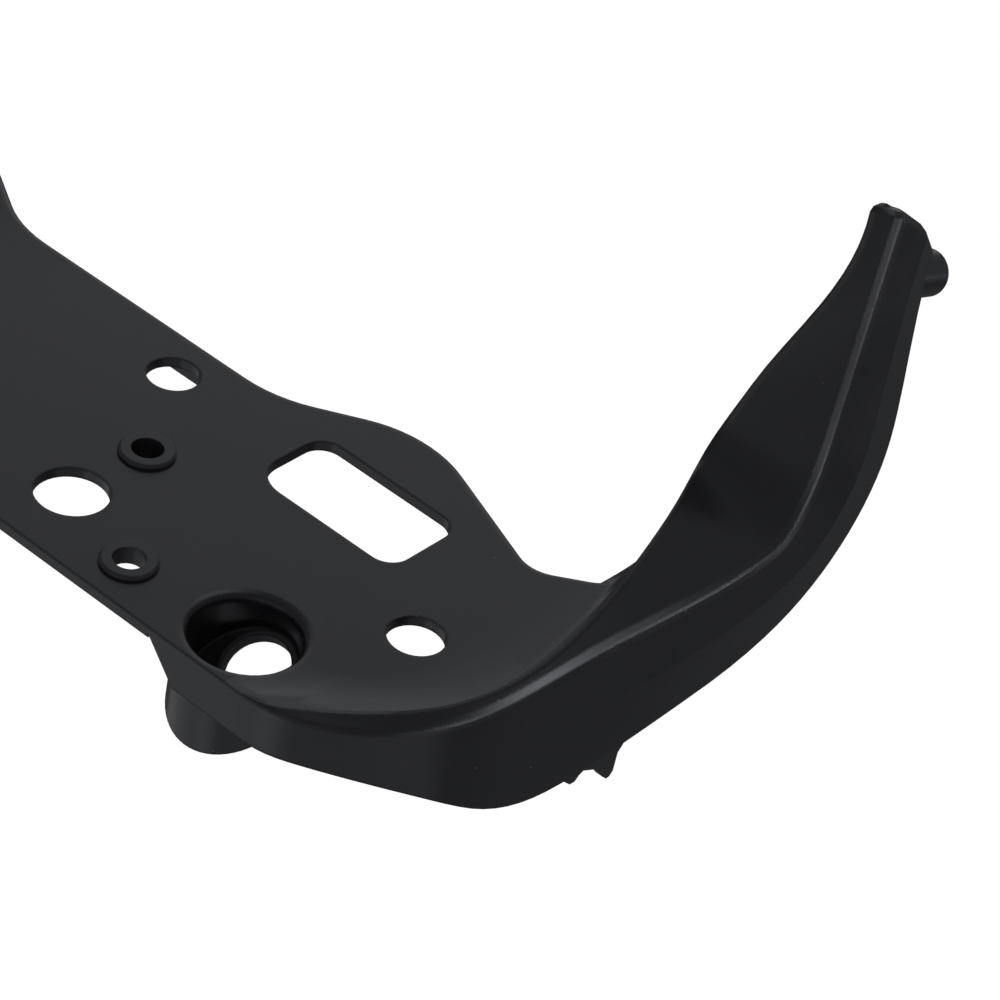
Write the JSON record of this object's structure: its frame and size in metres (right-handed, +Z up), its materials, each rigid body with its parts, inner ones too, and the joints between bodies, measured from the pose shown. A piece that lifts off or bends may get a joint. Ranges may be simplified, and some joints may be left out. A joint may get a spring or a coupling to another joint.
{
  "type": "headlight mounting bracket",
  "caption": "Pressed steel plate with cupped seats, sleeved bolt holes, a raised side rim and upright arms that end in threaded bosses; holds a headlamp or cowl.",
  "frame": {"origin": "in the plate's top face, on the line of symmetry, midway between the two large plain holes", "axes": "+X across the bracket, +Y forward along the bosses, +Z up from the plate"},
  "size_m": [0.3476, 0.2264, 0.1333],
  "materials": {
    "coated_sheet": "satin black powder coat",
    "coated_collar": "satin black powder coat",
    "coated_boss": "satin black powder coat"
  },
  "bodies": {
    "root": {"bracket_sheet": "coated_sheet", "inner_collar_right": "coated_collar", "outer_collar_right": "coated_collar", "inner_collar_left": "coated_collar", "outer_collar_left": "coated_collar", "tip_boss_right": "coated_boss", "tip_boss_left": "coated_boss"}
  },
  "joints": []
}
